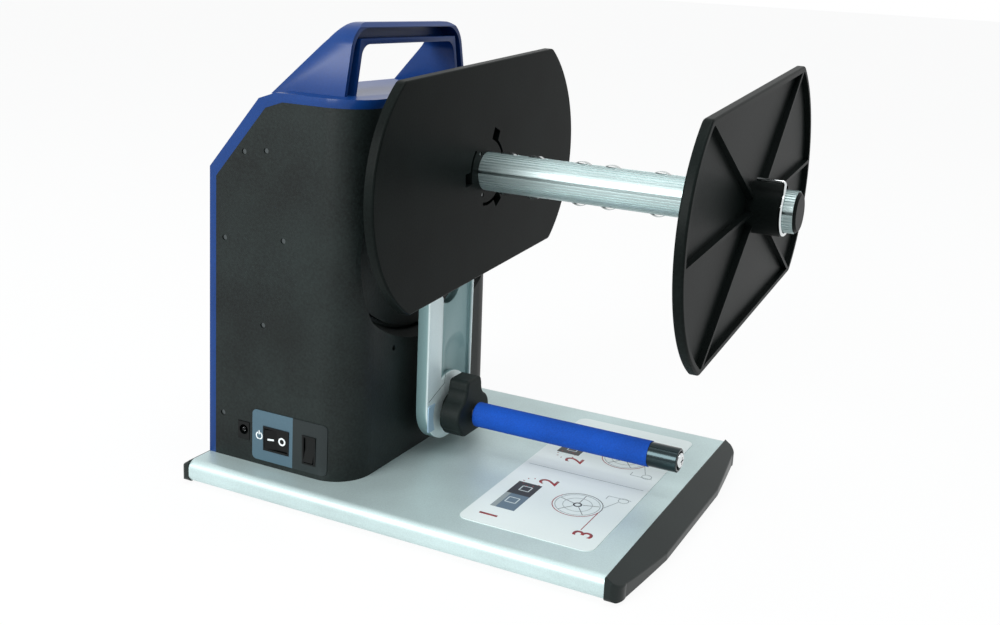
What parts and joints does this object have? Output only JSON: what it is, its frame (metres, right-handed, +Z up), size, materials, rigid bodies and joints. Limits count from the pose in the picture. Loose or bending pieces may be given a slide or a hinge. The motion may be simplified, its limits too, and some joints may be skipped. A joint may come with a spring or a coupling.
{
  "type": "benchtop label rewinder",
  "caption": "Motor-driven benchtop label rewinder: housing with carrying handle on a metal base, core tube between two flanges, and a swinging tension arm with a foam roller.",
  "frame": {"origin": "middle of the base plate's footprint, on the surface that the feet stand on", "axes": "+Z up, +X along the spindle from the housing towards the free end, -Y towards the side with the switches"},
  "size_m": [0.3371, 0.2398, 0.276],
  "materials": {
    "extruded_aluminium": "satin",
    "tube_aluminium": "brushed",
    "black_moulding": "fine textured",
    "flange_black": "satin",
    "blue_moulding": "semi gloss",
    "silver_moulding": "satin silver",
    "pale_pad": "satin",
    "blue_foam": "foam",
    "dark_collar": "gloss",
    "knob_black": "matte",
    "label_white": "satin",
    "switch_black": "semi gloss",
    "panel_blue_grey": "satin",
    "rubber_black": "matte",
    "steel": "satin",
    "chrome_wire": "polished",
    "bronze": "satin",
    "board_green": "satin",
    "gear_white": "satin"
  },
  "bodies": {
    "base": {"base_plate": "extruded_aluminium", "base_end_cap_left": "black_moulding", "base_end_cap_right": "black_moulding", "rubber_feet": "rubber_black", "base_screws": "steel", "threading_label": "label_white", "housing_shell": "black_moulding", "spine_cover": "blue_moulding", "housing_screws": "steel", "recess_plate": "black_moulding", "chassis_frame": "steel", "bearing_carrier": "extruded_aluminium", "carrier_screws": "steel", "spindle_bearings": "steel", "arm_retaining_ring": "steel", "motor_plate": "steel", "gearbox_spacers": "bronze", "spacer_screws": "steel", "gear_motor": "steel", "motor_screws": "steel", "board_standoffs": "bronze", "control_board": "board_green", "switch_panel": "panel_blue_grey", "dc_jack": "switch_black", "power_switch_body": "switch_black", "direction_switch_body": "switch_black"},
    "spindle": {"spindle_shaft": "steel", "spindle_gear": "gear_white", "core_tube": "tube_aluminium", "tube_end_plug": "black_moulding", "core_springs": "steel", "inner_flange": "flange_black", "flange_screws": "steel"},
    "outer_flange": {"outer_flange": "flange_black", "flange_clip": "chrome_wire"},
    "arm": {"tension_arm": "silver_moulding", "arm_bush": "bronze", "arm_stop_pin": "steel", "arm_pad": "pale_pad", "roller_shaft": "steel", "stud_nut": "steel", "roller_end_screw": "chrome_wire"},
    "roller": {"roller_bushes": "bronze", "roller_tube": "tube_aluminium", "roller_foam": "blue_foam", "roller_collar": "dark_collar"},
    "knob": {"star_knob": "knob_black"},
    "pinion": {"motor_shaft": "steel", "motor_pinion": "bronze"},
    "power_rocker": {"power_rocker": "switch_black"},
    "direction_rocker": {"direction_rocker": "switch_black"}
  },
  "joints": [
    {"name": "spindle_spin", "type": "hinge", "parent": "base", "child": "spindle", "pos_m": [0, 0, 0.19325], "axis": [1, 0, 0], "continuous": true},
    {"name": "outer_flange_slide", "type": "slide", "parent": "spindle", "child": "outer_flange", "axis": [1, 0, 0], "range_m": [-0.155, 0.028]},
    {"name": "arm_swing", "type": "hinge", "parent": "base", "child": "arm", "pos_m": [0, 0, 0.19325], "axis": [1, 0, 0], "range_deg": [-30, 30]},
    {"name": "roller_spin", "type": "hinge", "parent": "arm", "child": "roller", "pos_m": [0.06, 0, 0.04], "axis": [1, 0, 0], "continuous": true},
    {"name": "knob_turn", "type": "hinge", "parent": "arm", "child": "knob", "pos_m": [-0.006, 0, 0.04], "axis": [1, 0, 0], "range_deg": [0, 360]},
    {"name": "pinion_spin", "type": "hinge", "parent": "base", "child": "pinion", "pos_m": [-0.062, 0, 0.15325], "axis": [1, 0, 0], "continuous": true},
    {"name": "power_rock", "type": "hinge", "parent": "base", "child": "power_rocker", "pos_m": [-0.0843, -0.0844, 0.033], "axis": [0, 0, 1], "range_deg": [-14, 0]},
    {"name": "direction_rock", "type": "hinge", "parent": "base", "child": "direction_rocker", "pos_m": [-0.0608, -0.08442, 0.0322], "axis": [1, 0, 0], "range_deg": [0, 12]}
  ],
  "couplings": [
    {"joint": "pinion_spin", "follows": "spindle_spin", "ratio": -3}
  ]
}
